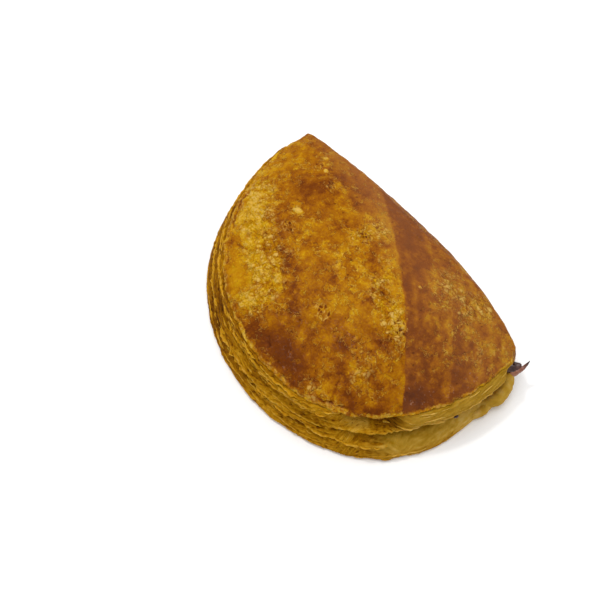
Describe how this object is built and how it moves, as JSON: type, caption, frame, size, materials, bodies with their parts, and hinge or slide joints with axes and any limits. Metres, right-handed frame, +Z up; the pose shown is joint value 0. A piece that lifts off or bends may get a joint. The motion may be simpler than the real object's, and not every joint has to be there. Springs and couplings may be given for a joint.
{
  "type": "hand pie",
  "caption": "Half-moon hand pie of folded puff pastry, glazed and browned on top, with a layered open edge that burst at one end and dark filling leaked at that corner.",
  "frame": {"origin": "centre of the bounding box, on the floor that the flat underside rests on", "axes": "+X along the fold towards the burst corner, +Y towards the fold, +Z up through the lid"},
  "size_m": [0.1484, 0.098, 0.0363],
  "materials": {
    "pastry": "baked puff pastry, egg-washed and browned on top, pale and flaky at the open edge",
    "filling": "burnt dark fruit filling, sticky"
  },
  "bodies": {
    "root": {"crust": "pastry", "filling": "filling"}
  },
  "joints": []
}
